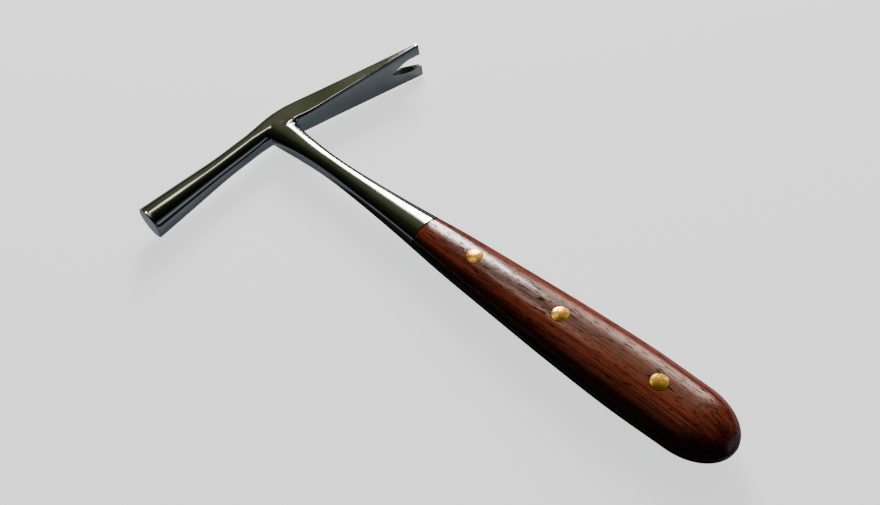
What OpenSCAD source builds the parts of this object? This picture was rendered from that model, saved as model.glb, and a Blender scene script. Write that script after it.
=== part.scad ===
// Upholsterer's tack hammer, lying on its side.
// One steel forging makes the round face arm, the forked claw arm, the shank and a full tang.
// Two rosewood scales cover the tang, held by three brass cutler's rivets of two halves each.
// +X runs along the handle to the butt, +Y towards the claw, +Z is square to the hammer's plane.
// The origin is under the middle of the hammer, on the surface it lies on.

/* [Face arm] */
// Distance from the handle's centre line to the striking face, along the arm
face_arm_length = 74; // [65:1:85]
// Angle by which the face arm droops towards the handle
face_droop = 3.6; // [0:0.1:6]
// Diameter of the arm at its striking face
face_d = 15.2; // [13:0.1:17]
// Diameter of the arm at its neck, next to the cheek
neck_d = 10.6; // [9:0.1:11]
// Width of the chamfer round the striking face
rim_w = 0.5; // [0.3:0.1:1]

/* [Claw arm] */
// Distance from the handle's centre line to the claw's tip, along the arm
claw_arm_length = 78.8; // [70:0.1:90]
// Angle by which the claw arm droops towards the handle
claw_droop = 13.4; // [8:0.1:18]
// Width of the fork across its tip
tip_w = 18.6; // [15:0.1:21]
// Width of the arm at its waist, next to the cheek
claw_waist_w = 10.4; // [8:0.1:11]
// Thickness of the fork at its tip
tip_t = 1.4; // [1:0.1:2]
// Thickness of the arm at its waist
claw_waist_t = 11.7; // [10:0.1:12]
// Width of the tack slot at the mouth
slot_w = 6.4; // [5.5:0.1:7]
// Length of the tack slot through the fork, from the tip
slot_l = 13; // [11:0.5:15]
// Length of the bevel round the slot, from the tip
bevel_l = 16.8; // [16:0.1:18]

/* [Shank] */
// Radius of the fillets between the arms and the shank
fillet_r = 3; // [2:0.5:4]
// Width of the shank where it leaves the cheek
shank_root_w = 13.4; // [12:0.1:15]
// Width of the shank at its waist
shank_waist_w = 9.8; // [8:0.1:11]
// Thickness of the shank at its waist
shank_waist_t = 9.9; // [8:0.1:11]
// Width of the bolster, where the scales begin
bolster_w = 16.7; // [15:0.1:18]
// Thickness of the bolster
bolster_t = 13.9; // [12:0.1:15]

/* [Handle] */
// Distance from the head's centre line to the end of the butt
handle_length = 250; // [240:1:265]
// Distance from the head's centre line to the front of the scales
scale_start = 103.5; // [95:0.5:110]
// Greatest width of the handle
belly_w = 27.5; // [25:0.5:30]
// Greatest thickness of the handle
belly_t = 19.8; // [18:0.1:22]
// Thickness of the tang at the bolster
tang_t = 3.2; // [2.5:0.1:4]
// Thickness of the tang at the butt
tang_end_t = 1.2; // [1:0.1:2]

/* [Rivets] */
// Distance from the head's centre line to the front rivet
front_rivet_x = 131.5; // [125:0.5:135]
// Distance from one rivet to the next
rivet_pitch = 43.7; // [40:0.1:44]
// Diameter of a rivet's head
rivet_head_d = 6.8; // [6:0.1:8]
// Outside diameter of the socket half's tube
socket_d = 4.8; // [4:0.1:5.2]
// Diameter of the post half's shank, pressed into the tube
post_d = 3.2; // [2.5:0.1:3.4]

/* [Hidden] */
$fn = 64;

steel = [0.45, 0.46, 0.45];
rosewood = [0.42, 0.13, 0.07];
brass = [0.80, 0.63, 0.28];

// Every section is a superellipse: a power of 2 is an ellipse, a higher one is squarer.
section_points = 32;
handle_power = 2.3;
// Each handle station is [distance from the head's centre line, half width, half thickness].
butt_start = 231;
handle_stations = [
    [4, shank_root_w / 2 + 0.6, neck_d / 2],
    [12, shank_root_w / 2, neck_d / 2],
    [24, 5.6, 5.3],
    [40, shank_waist_w / 2, shank_waist_t / 2],
    [60, 5.4, 5.05],
    [88, 7.1, 6.1],
    [scale_start, bolster_w / 2, bolster_t / 2],
    [120, 9.7, 7.8],
    [150, 11.4, 8.85],
    [178, 12.9, 9.4],
    [207, belly_w / 2, belly_t / 2],
    [butt_start, 13.3, 9.6]
];
// Rings close together round the butt, where the outline turns in fastest.
butt_rings = 9;
butt_length = handle_length - butt_start;
ring_step = 10;

// The head's two arms are one bar. Each station is [distance along the bar, half depth from back
// to handle side, half thickness, power], with the face arm at negative distances.
neck_r = neck_d / 2;
face_r = face_d / 2;
head_stations = [
    [-face_arm_length, face_r, face_r, 2],
    [-0.7 * face_arm_length, neck_r + 1.1, neck_r + 1.1, 2],
    [-0.45 * face_arm_length, neck_r + 0.1, neck_r + 0.1, 2],
    [-20, neck_r, neck_r, 2],
    [-12, neck_r, neck_r, 2.1],
    [0, neck_r + 0.2, neck_r, 3],
    [9, 6, neck_r, 4],
    [18, claw_waist_t / 2, claw_waist_w / 2, 5],
    [28, claw_waist_t / 2 - 0.85, claw_waist_w / 2 + 0.65, 6],
    [claw_arm_length, tip_t / 2, tip_w / 2, 8]
];
// Places of the bar's rings between its two ends: close together where the arms meet.
junction = [-12, 20];
face_step = (face_arm_length + junction[0]) / 7.5;
claw_step = (claw_arm_length - junction[1]) / 5;
bar_places = concat(
    [for (k = [0.5:1:6.5]) -face_arm_length + k * face_step],
    [for (s = [junction[0]:4:junction[1]]) s],
    [for (k = [1:4]) junction[1] + k * claw_step]
);

// How far the bounding box reaches from the centre lines: behind the head, and to both ends of it.
head_back = 5.5;
claw_reach = claw_arm_length * cos(claw_droop) + tip_t / 2 * sin(claw_droop);
face_reach = face_arm_length * cos(face_droop);

rivet_xs = [front_rivet_x, front_rivet_x + rivet_pitch, front_rivet_x + 2 * rivet_pitch];
rivet_dome = 0.35;
rivet_rim = 1.1;
rivet_sink = 0.15;
rest_height = max([belly_t / 2, for (x = rivet_xs) half_thickness(x) - rivet_sink + rivet_dome]);
origin_shift = [-(handle_length - head_back) / 2, -(claw_reach - face_reach) / 2, rest_height];
far = 100;
eps = 0.01;

// Slope through station i of a list, from its two neighbours, in column k.
function station_slope(list, i, k) =
    let (low = max(i - 1, 0), high = min(i + 1, len(list) - 1))
    (list[high][k] - list[low][k]) / (list[high][0] - list[low][0]);

// Smooth cubic through column k of the stations, at a distance x.
function station_value(list, x, k, i = 0) =
    x > list[i + 1][0] && i < len(list) - 2 ? station_value(list, x, k, i + 1) :
    let (
        span = list[i + 1][0] - list[i][0],
        t = (x - list[i][0]) / span,
        rise = list[i + 1][k] - list[i][k],
        m0 = station_slope(list, i, k) * span,
        m1 = station_slope(list, i + 1, k) * span
    )
    list[i][k] + t * m0 + t * t * (3 * rise - 2 * m0 - m1) + t * t * t * (m0 + m1 - 2 * rise);

// How far the section has closed in towards the end of the butt, 1 where it has not begun.
function butt_closing(x) = x <= butt_start ? 1 : sqrt(max(0, 1 - pow((x - butt_start) / butt_length, 2)));

// Half sizes of the handle's section at a distance x from the head's centre line.
function half_width(x) = butt_closing(x) * station_value(handle_stations, min(x, butt_start), 1);
function half_thickness(x) = butt_closing(x) * station_value(handle_stations, min(x, butt_start), 2);

function signed_power(v, p) = sign(v) * pow(abs(v), p);

// Superellipse of half sizes a and b as a list of [across, up] points.
function section(a, b, power) = [
    for (i = [0:section_points - 1])
        let (t = 360 * i / section_points)
        [a * signed_power(cos(t), 2 / power), b * signed_power(sin(t), 2 / power)]
];

// One ring of points round the handle at x.
function handle_ring(x) = [
    for (p = section(half_width(x), half_thickness(x), handle_power)) [x, p[0], p[1]]
];

// Angle of the head bar's ring at a distance s: square to each arm, and square to +Y at the face.
function ring_turn(s) =
    s < -0.95 * face_arm_length ? 0 :
    s < -6 ? -face_droop :
    s > 8 ? claw_droop :
    let (t = (s + 6) / 14)
    -face_droop + (face_droop + claw_droop) * t * t * (3 - 2 * t);

// One ring of points round the head bar at a distance s, drawn in from its full size by inset.
function head_ring(s, inset = 0) =
    let (
        droop = s < 0 ? -face_droop : claw_droop,
        turn = ring_turn(s),
        centre = [s * sin(droop), s * cos(droop)],
        depth = station_value(head_stations, s, 1) - inset,
        thickness = station_value(head_stations, s, 2) - inset
    )
    [for (p = section(depth, thickness, station_value(head_stations, s, 3)))
        [centre[0] - p[0] * cos(turn), centre[1] + p[0] * sin(turn), p[1]]];

// Distances of the rings from x0 to the butt's last ring, or to x1 if that comes first.
function ring_places(x0, x1) =
    x1 <= butt_start ? [for (i = [0:ceil((x1 - x0) / ring_step)]) min(x0 + i * ring_step, x1)] :
    concat(
        [for (i = [0:floor((butt_start - x0 - 1) / ring_step)]) x0 + i * ring_step],
        [for (i = [0:butt_rings - 1]) butt_start + butt_length * sin(i * 88 / (butt_rings - 1))]
    );

// Closed solid through a list of rings that all have the same number of points.
module loft(rings) {
    n = len(rings[0]);
    points = [for (ring = rings) each ring];
    walls = [
        for (r = [0:len(rings) - 2], i = [0:n - 1])
            let (a = r * n + i, b = r * n + (i + 1) % n)
            each [[a, a + n, b], [b, a + n, b + n]]
    ];
    front = [for (i = [0:n - 1]) i];
    back = [for (i = [n - 1:-1:0]) (len(rings) - 1) * n + i];
    polyhedron(points, concat(walls, [front, back]));
}

// The handle's outer form from x0 to x1.
module handle_form(x0, x1) {
    loft([for (x = ring_places(x0, x1)) handle_ring(x)]);
}

// Wedge that the tapered tang fills between the scales, from x0 to beyond the butt.
module tang_wedge(x0) {
    rotate([90, 0, 0])
        linear_extrude(far, center = true)
            polygon([[x0, tang_t / 2], [handle_length, tang_end_t / 2],
                     [handle_length + 1, 0],
                     [handle_length, -tang_end_t / 2], [x0, -tang_t / 2]]);
}

// Round bars square to the tang at all three rivets.
module rivet_bars(d) {
    for (x = rivet_xs) translate([x, 0, 0]) cylinder(h = far, d = d, center = true);
}

// The face arm, cheek and claw arm as one bar, with a chamfer round the face.
module head_bar() {
    loft(concat(
        [head_ring(-face_arm_length, rim_w), head_ring(-face_arm_length + rim_w)],
        [for (s = bar_places) head_ring(s)],
        [head_ring(claw_arm_length)]
    ));
}

// Tack slot: narrow at the back of the fork, bevelled wider towards the handle.
module tack_slot() {
    apex_r = 0.6;
    bevel_r = 3.5;
    bevel_reach = 1.4 * bevel_r;
    past = 2;
    back_plane = -2.2;
    handle_plane = 2.4;
    hull() {
        slot_outline(back_plane) {
            translate([claw_arm_length - slot_l + apex_r, 0]) circle(apex_r, $fn = 32);
            translate([claw_arm_length, -slot_w / 2]) square([past, slot_w]);
        }
        slot_outline(handle_plane) {
            translate([claw_arm_length - bevel_l, -eps]) square([eps, 2 * eps]);
            translate([claw_arm_length - bevel_l + bevel_reach + bevel_r, 0]) circle(bevel_r, $fn = 32);
            translate([claw_arm_length, -slot_w / 2]) square([past, slot_w]);
        }
    }
}

// Lays an outline drawn along and across the claw arm in a plane at a distance from its middle.
module slot_outline(plane) {
    translate([plane, 0, 0])
        rotate([0, 90, 0])
            rotate([0, 0, 90])
                linear_extrude(eps) children();
}

// Fillets that blend the shank into both arms, with rounded edges.
module shank_fillets() {
    edge_r = 2.4;
    arm_reach = 9;
    shank_reach = 10;
    cheek_t = neck_d - 0.2;
    minkowski() {
        linear_extrude(cheek_t - 2 * edge_r, center = true)
            offset(delta = -edge_r) offset(r = -fillet_r) offset(delta = fillet_r) {
                rotate([0, 0, face_droop]) translate([-neck_r, -arm_reach]) square([neck_d, arm_reach]);
                rotate([0, 0, -claw_droop]) translate([-neck_r, 0]) square([neck_d + 0.6, arm_reach]);
                translate([0, -shank_root_w / 2]) square([shank_reach, shank_root_w]);
            }
        sphere(edge_r, $fn = 16);
    }
}

module hammer_forging() {
    color(steel)
        translate(origin_shift)
            difference() {
                union() {
                    head_bar();
                    shank_fillets();
                    handle_form(4, scale_start);
                    intersection() {
                        handle_form(scale_start - ring_step, handle_length);
                        tang_wedge(scale_start - ring_step / 2);
                    }
                }
                rivet_bars(socket_d);
                rotate([0, 0, -claw_droop]) tack_slot();
            }
}

// One scale: side is 1 for the upper one and -1 for the lower one.
module scale_half(side) {
    color(rosewood)
        translate(origin_shift)
            difference() {
                handle_form(scale_start, handle_length);
                tang_wedge(scale_start - ring_step / 2);
                translate([0, -far / 2, side > 0 ? -far : 0]) cube([3 * far, far, far]);
                rivet_bars(socket_d);
                for (x = rivet_xs)
                    translate([x, 0, side * head_seat(x)])
                        mirror([0, 0, side > 0 ? 0 : 1]) cylinder(h = far, d = rivet_head_d);
            }
}

// Height of a rivet head's underside above the tang's middle plane.
function head_seat(x) = half_thickness(x) - rivet_sink - rivet_rim;

module upper_scale() { scale_half(1); }
module lower_scale() { scale_half(-1); }

// Outline of a domed head: distance from the axis, then height above its underside.
function head_outline(inner_r) =
    let (r = rivet_head_d / 2, ball_r = (r * r + rivet_dome * rivet_dome) / (2 * rivet_dome))
    concat(
        [[inner_r, 0], [r, 0], [r, rivet_rim]],
        [for (i = [5:-1:0])
            let (q = r * i / 6)
            [q, rivet_rim + rivet_dome - ball_r + sqrt(ball_r * ball_r - q * q)]]
    );

// Upper half: a domed head on a solid post.
module rivet_post(x) {
    post_end = 1;
    color(brass)
        translate(origin_shift + [x, 0, head_seat(x)]) {
            rotate_extrude() polygon(head_outline(0));
            translate([0, 0, -head_seat(x) * 2 + post_end])
                cylinder(h = head_seat(x) * 2 - post_end, d = post_d);
        }
}

// Lower half: a domed head on a tube that takes the post.
module rivet_socket(x) {
    tube_top = 0.3;
    color(brass)
        translate(origin_shift + [x, 0, -head_seat(x)])
            difference() {
                union() {
                    mirror([0, 0, 1]) rotate_extrude() polygon(head_outline(0));
                    cylinder(h = head_seat(x) * 2 - tube_top, d = socket_d);
                }
                cylinder(h = far, d = post_d);
            }
}

module front_rivet_post() { rivet_post(rivet_xs[0]); }
module front_rivet_socket() { rivet_socket(rivet_xs[0]); }
module middle_rivet_post() { rivet_post(rivet_xs[1]); }
module middle_rivet_socket() { rivet_socket(rivet_xs[1]); }
module rear_rivet_post() { rivet_post(rivet_xs[2]); }
module rear_rivet_socket() { rivet_socket(rivet_xs[2]); }

hammer_forging();
upper_scale();
lower_scale();
front_rivet_post();
front_rivet_socket();
middle_rivet_post();
middle_rivet_socket();
rear_rivet_post();
rear_rivet_socket();
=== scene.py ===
# %% [markdown]
# An upholsterer's tack hammer: one steel forging, two rosewood scales and
# three two-piece brass rivets. The forging has a long face arm, a claw arm
# with a slot for lifting tacks, a slim neck, and a flat tang that runs
# between the scales to the end of the handle.
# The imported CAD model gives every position. All lengths below are in
# millimetres from the middle of the head: x runs to the butt, y to the
# claw and z up. One function turns them into metres in the shared frame.
# The CAD pieces could be shown as they are. Here each one is built again
# with more points, so that every curve stays smooth under a hard light.

import bpy
import math
import numpy as np
from mathutils import Matrix, Vector, noise


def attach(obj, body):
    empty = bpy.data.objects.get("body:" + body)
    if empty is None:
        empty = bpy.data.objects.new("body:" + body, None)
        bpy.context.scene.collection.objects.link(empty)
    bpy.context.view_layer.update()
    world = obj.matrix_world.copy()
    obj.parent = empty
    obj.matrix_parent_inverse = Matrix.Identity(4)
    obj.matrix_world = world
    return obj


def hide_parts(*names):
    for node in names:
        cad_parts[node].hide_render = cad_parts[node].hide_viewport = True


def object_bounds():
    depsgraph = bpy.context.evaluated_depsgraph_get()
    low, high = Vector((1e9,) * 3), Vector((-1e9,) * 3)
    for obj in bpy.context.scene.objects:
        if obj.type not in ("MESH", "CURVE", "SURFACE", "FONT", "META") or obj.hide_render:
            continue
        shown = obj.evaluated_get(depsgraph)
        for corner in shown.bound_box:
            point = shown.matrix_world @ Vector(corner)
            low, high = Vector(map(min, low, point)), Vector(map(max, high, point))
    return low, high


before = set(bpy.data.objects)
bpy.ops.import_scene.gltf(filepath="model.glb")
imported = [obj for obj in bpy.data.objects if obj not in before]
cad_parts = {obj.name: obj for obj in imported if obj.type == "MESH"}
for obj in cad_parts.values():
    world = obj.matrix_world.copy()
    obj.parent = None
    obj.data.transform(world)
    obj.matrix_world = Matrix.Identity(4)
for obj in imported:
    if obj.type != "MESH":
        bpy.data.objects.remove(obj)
cad_low, cad_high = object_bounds()
print("CAD box, metres:", tuple(cad_low), tuple(cad_high))

# %% Where the head's middle lies
HEAD_BACK = 5.5
FACE_ARM = 74
FACE_DROOP = math.radians(3.6)
CLAW_ARM = 78.8
CLAW_DROOP = math.radians(13.4)
head_middle = np.array([
    cad_low.x * 1000 + HEAD_BACK,
    cad_low.y * 1000 + FACE_ARM * math.cos(FACE_DROOP),
    (cad_low.z + cad_high.z) * 500,
])
print("middle of the head, mm:", head_middle.round(3))


def to_metres(points):
    return (np.asarray(points, float) + head_middle) / 1000


# %% [markdown]
# The camera looks down on the hammer from beside its butt, so the handle
# comes towards it and the head is farther off. A lens of 38 millimetres at
# about 370 millimetres gives the strong taper of the handle. The camera
# aims at a point under the neck and is then rolled about its own axis.

# %% Camera
LENS = 38.09
SENSOR = 36
camera_data = bpy.data.cameras.new("view_camera")
camera_data.lens = LENS
camera_data.sensor_width = SENSOR
camera = bpy.data.objects.new("view_camera", camera_data)
bpy.context.scene.collection.objects.link(camera)
bpy.context.scene.camera = camera
camera_place = Vector((0.18868, -0.14800, 0.29358))
camera_aim = Vector((-0.00794, -0.00477, 0.01))
camera_roll = math.radians(-10.77)
look = (camera_aim - camera_place).to_track_quat("-Z", "Y").to_matrix()
camera.matrix_world = (
    Matrix.Translation(camera_place) @ (look @ Matrix.Rotation(camera_roll, 3, "Z")).to_4x4()
)
print("camera distance, mm:", round((camera_aim - camera_place).length * 1000))

# %% [markdown]
# Every length of the hammer is drawn through a short list of stations, as a
# maker files to a few gauge marks. Between two stations a smooth curve runs
# whose slope comes from the neighbours, so the outline has no corners. A
# bevelled curve or a subdivided box could give a like taper, but stations
# hold each width and thickness as a plain number that a rule could check.

# %% Station lists: place, half width, half thickness
HANDLE_STATIONS = np.array([
    [4, 7.3, 5.3],
    [12, 6.7, 5.3],
    [24, 5.6, 5.3],
    [40, 4.9, 4.95],
    [60, 5.4, 5.05],
    [88, 7.1, 6.1],
    [103.5, 8.35, 6.95],
    [120, 9.7, 7.8],
    [150, 11.4, 8.85],
    [178, 12.9, 9.4],
    [207, 13.75, 9.9],
    [231, 13.3, 9.6],
])
HANDLE_POWER = 2.3
BUTT_START = 231
HANDLE_END = 250

# The head's list has the place along the bar, half depth, half thickness
# and the squareness of the section: 2 is round, 8 is nearly a rectangle.
HEAD_STATIONS = np.array([
    [-74, 7.6, 7.6, 2],
    [-51.8, 6.4, 6.4, 2],
    [-33.3, 5.4, 5.4, 2],
    [-20, 5.3, 5.3, 2],
    [-12, 5.3, 5.3, 2.1],
    [0, 5.5, 5.3, 3.4],
    [9, 6, 5.25, 7],
    [18, 5.85, 5.3, 9],
    [28, 5, 5.85, 10],
    [78.8, 0.7, 9.3, 14],
])
print("stations of the handle and of the head:", len(HANDLE_STATIONS), len(HEAD_STATIONS))

# %% Smooth values between the stations


def along(stations, place):
    """Smooth values of a station list at one or many places."""
    place = np.clip(np.asarray(place, float), stations[0, 0], stations[-1, 0])
    i = np.clip(np.searchsorted(stations[:, 0], place, side="right") - 1, 0, len(stations) - 2)
    last = len(stations) - 1
    low, high = np.maximum(i - 1, 0), np.minimum(i + 1, last)
    higher = np.minimum(i + 2, last)
    span = stations[high, 0] - stations[i, 0]
    t = (place - stations[i, 0]) / span
    result = []
    for k in range(1, stations.shape[1]):
        v = stations[:, k]
        m0 = (v[high] - v[low]) / (stations[high, 0] - stations[low, 0]) * span
        m1 = (v[higher] - v[i]) / (stations[higher, 0] - stations[i, 0]) * span
        rise = v[high] - v[i]
        result.append(v[i] + t * m0 + t * t * (3 * rise - 2 * m0 - m1) + t**3 * (m0 + m1 - 2 * rise))
    return result


def smooth_step(t):
    t = np.clip(t, 0, 1)
    return t * t * (3 - 2 * t)


def handle_section(x):
    """Half width and half thickness of the handle, closing to a dome at the butt."""
    width, thickness = along(HANDLE_STATIONS, np.minimum(x, BUTT_START))
    closing = np.sqrt(np.maximum(0, 1 - (np.maximum(x - BUTT_START, 0) / (HANDLE_END - BUTT_START)) ** 2))
    return width * closing, thickness * closing


print("handle at its belly, mm:", [round(float(v) * 2, 2) for v in handle_section(207.0)])

# %% [markdown]
# The skins are rings of points joined by four-sided faces. A ring is a
# superellipse, which goes from round to nearly square with one number. Its
# points are spaced by length and by how fast the outline turns, so a crisp
# edge gets several close points and a flat gets few. Evenly spaced points
# would need many more columns to hold the claw's edges as sharp.

# %% Rings
COLUMNS = 72
QUARTER = COLUMNS // 4
FINE_STEPS = 721
TURN_WEIGHT = 0.45


def ring_angles(a, b, power):
    """The 72 angles of one ring, from +a through +b."""
    t = np.linspace(0, math.pi / 2, FINE_STEPS)
    u, v = a * np.cos(t) ** (2 / power), b * np.sin(t) ** (2 / power)
    du, dv = np.diff(u), np.diff(v)
    length = np.hypot(du, dv)
    turning = np.abs(np.diff(np.unwrap(np.arctan2(dv, du))))
    measure = length / length.sum()
    measure[1:] += TURN_WEIGHT * turning / max(turning.sum(), 1e-9)
    total = np.concatenate([[0], np.cumsum(measure)])
    quarter = np.interp(np.linspace(0, total[-1], QUARTER + 1), total, t)
    quarter[0], quarter[-1] = 0, math.pi / 2
    half = np.concatenate([quarter, math.pi - quarter[-2::-1]])
    return np.concatenate([half, half[1:-1] + math.pi])


def signed_power(v, power):
    """A power that keeps the sign, so one formula draws all four quarters."""
    return np.sign(v) * np.abs(v) ** power


def on_ring(a, b, power, angle):
    """Points of a superellipse with half sizes a and b."""
    c, s = np.cos(angle), np.sin(angle)
    c, s = np.where(np.abs(c) < 1e-9, 0, c), np.where(np.abs(s) < 1e-9, 0, s)
    return a * signed_power(c, 2 / power), b * signed_power(s, 2 / power)


print("points a ring:", COLUMNS)

# %% [markdown]
# The head is one bent bar. Its middle line runs straight down each arm and
# bends over ten millimetres at the neck, so both arms droop towards the
# handle. Each ring stands square to that line, apart from the last few
# millimetres of the face arm, which turn so that the striking face lies
# parallel to the handle. Adding up short steps keeps the bar's length true
# through the bend.

# %% The head's middle line
BEND = 5.0
LINE_STEP = 0.05
FACE_TURN_FROM = 70.5
FACE_TURN_RUN = 2.5
line_s = np.linspace(-FACE_ARM, CLAW_ARM, round((FACE_ARM + CLAW_ARM) / LINE_STEP) + 1)
line_heading = -FACE_DROOP + (FACE_DROOP + CLAW_DROOP) * smooth_step((line_s + BEND) / (2 * BEND))
step = line_s[1] - line_s[0]
line_x = np.concatenate([[0], np.cumsum(np.sin((line_heading[1:] + line_heading[:-1]) / 2) * step)])
line_y = np.concatenate([[0], np.cumsum(np.cos((line_heading[1:] + line_heading[:-1]) / 2) * step)])
line_x += FACE_ARM * math.sin(FACE_DROOP) - line_x[0]
line_y += -FACE_ARM * math.cos(FACE_DROOP) - line_y[0]
line_tilt = line_heading * (1 - smooth_step((-line_s - FACE_TURN_FROM) / FACE_TURN_RUN))
print("claw tip of the middle line, mm:", round(line_x[-1], 2), round(line_y[-1], 2))


def head_point(s, u, z):
    """A point u in front of the middle line (towards the handle) and z above it."""
    tilt = np.interp(s, line_s, line_tilt)
    x = np.interp(s, line_s, line_x) + u * np.cos(tilt)
    y = np.interp(s, line_s, line_y) - u * np.sin(tilt)
    return np.stack([x, y, z + 0 * x], -1)


# %% [markdown]
# The tack slot is an almond on the handle side and a V on the back that
# starts nearer the end, so its walls slant. The rings pass it by splitting:
# the middle column becomes two, and the columns beside it close up towards
# the edges. So the slot has clean edges and no boolean cut.

# %% Slot outlines
SLOT_FRONT = CLAW_ARM - 16.8
SLOT_BACK = CLAW_ARM - 13.0
WIDEST_HALF = 3.55
WIDEST_AT = 11
FULLNESS = 1.6
CLOSING = 0.05
BACK_ROUND = 0.6
BACK_NOSE = 0.5
BACK_HALF = 0.57
BACK_SPREAD = 0.21


def slot_half_width(s, on_front):
    """Half the slot's width at a place along the claw, on the handle side or on the back."""
    run = np.maximum(s - SLOT_FRONT, 0)
    front = WIDEST_HALF * (1 - (1 - np.minimum(run / WIDEST_AT, 1)) ** FULLNESS)
    front = front - CLOSING * np.maximum(run - WIDEST_AT, 0)
    past = s - SLOT_BACK
    tip = np.sqrt(np.maximum(0, BACK_ROUND**2 - np.maximum(0, BACK_ROUND - past) ** 2))
    back = np.where(past < BACK_NOSE, tip, BACK_HALF + (past - BACK_NOSE) * BACK_SPREAD)
    return np.maximum(0, np.where(on_front, front, back))


mouth = [round(2 * float(slot_half_width(np.float64(CLAW_ARM), side)), 2) for side in (True, False)]
print("slot mouth on the handle side and on the back, mm:", mouth)

# %% Places of the head's rings
# The rings stand about 1.4 mm apart, and much closer at the slot's tip. On
# the back of the claw the slot starts nearer the end, so the back columns
# run ahead along the arm, and both tips of the slot fall on the same ring.
# The claw ends a hair short, to stay inside the CAD box.
END_GAP = 0.06
OPEN_ROWS = 12
JUNCTION_STEP = 1.4
arm_places = np.linspace(-73.3, -15.6, 40)
junction_places = np.arange(-10, 11) * JUNCTION_STEP
claw_places = np.linspace(15.6, SLOT_FRONT - 1, 34)
slot_run = np.linspace(0, 1, 29) ** 1.5
slot_places = SLOT_FRONT + slot_run * (CLAW_ARM - END_GAP - SLOT_FRONT)
ring_places = np.concatenate([arm_places, junction_places, claw_places, slot_places])
APEX = len(ring_places) - len(slot_places)
OPEN_FIRST = len(arm_places) + 4
OPEN_LAST = OPEN_FIRST + OPEN_ROWS
back_lead = np.where(
    ring_places < SLOT_FRONT,
    (SLOT_BACK - SLOT_FRONT) * smooth_step((ring_places - 46) / (SLOT_FRONT - 46)),
    (SLOT_BACK - SLOT_FRONT) * (CLAW_ARM - ring_places) / (CLAW_ARM - SLOT_FRONT),
)
fold = np.minimum(np.arange(COLUMNS), COLUMNS - np.arange(COLUMNS))
lead_share = smooth_step((fold - 12) / 12)
print("rings along the head:", len(ring_places))

# %% Points of the head bar
CORNER_R = 0.6
CLOSE_UP = 0.9


def bar_points(ring, column_angle, side, lead):
    """Points of one ring; side is +1 or -1 for the tine a split middle column belongs to."""
    s = ring_places[ring] + back_lead[ring] * lead
    depth, thickness, power = along(HEAD_STATIONS, s)
    near_tip = np.clip((s - (CLAW_ARM - CORNER_R)) / CORNER_R, 0, 1)
    thickness = thickness - CORNER_R * (1 - np.sqrt(np.maximum(0, 1 - near_tip**2)))
    u, z = on_ring(depth, thickness, power, column_angle)
    if ring >= APEX:
        # The columns inside the reach close up towards the edge to make room for the gap.
        gap = slot_half_width(s, np.cos(column_angle) > 0)
        reach = CLOSE_UP * thickness
        z = z + side * gap * np.maximum(0, 1 - np.abs(z) / reach)
        inside = np.minimum(np.abs(z) / thickness, 1) ** power
        u = np.where(np.abs(z) < reach, np.sign(u) * depth * (1 - inside) ** (1 / power), u)
    return head_point(s, u, z)


points = []
faces = []
sharp = set()


def add(new_points):
    """Stores points and gives back their numbers."""
    first = sum(len(p) for p in points)
    points.append(np.asarray(new_points, float).reshape(-1, 3))
    return np.arange(first, first + len(points[-1]))


side_of_column = np.where(np.arange(COLUMNS) < COLUMNS // 2, 1.0, -1.0)
plus_ids, minus_ids, wall_plus, wall_minus = [], [], [], []
WALL = 4
for r in range(len(ring_places)):
    d, w, p = along(HEAD_STATIONS, ring_places[r])
    angles = ring_angles(float(d), float(w), float(p))
    own = add(bar_points(r, angles, side_of_column, lead_share))
    twin = own.copy()
    if r > APEX:
        middle = np.array([0, COLUMNS // 2])
        twin[middle] = add(bar_points(r, angles[middle], np.array([-1.0, 1.0]), lead_share[middle]))
    # A column index on the upper tine reads from up, on the lower tine from down.
    up, down = own.copy(), twin.copy()
    up[COLUMNS // 2], down[COLUMNS // 2] = twin[COLUMNS // 2], own[COLUMNS // 2]
    plus_ids.append(up)
    minus_ids.append(down)
print("points so far:", sum(len(p) for p in points))

# %% Walls of the slot
# Each tine's wall has a few points across, from its front edge to its back.
everything = np.concatenate(points)
for r in range(APEX, len(ring_places)):
    walls = []
    for ids in (plus_ids[r], minus_ids[r]):
        a, b = everything[ids[0]], everything[ids[COLUMNS // 2]]
        if r == APEX and walls:
            walls.append(walls[0])
            continue
        inner = add([a + (b - a) * i / WALL for i in range(1, WALL)])
        walls.append(np.concatenate([[ids[0]], inner, [ids[COLUMNS // 2]]]))
    wall_plus.append(walls[0])
    wall_minus.append(walls[1])
print("slot walls, rows:", len(wall_plus), "by", WALL)

# %% Faces of the head bar
half = COLUMNS // 2


def column_ids(ring, column, upper):
    return (plus_ids if upper else minus_ids)[ring][column % COLUMNS]


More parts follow.
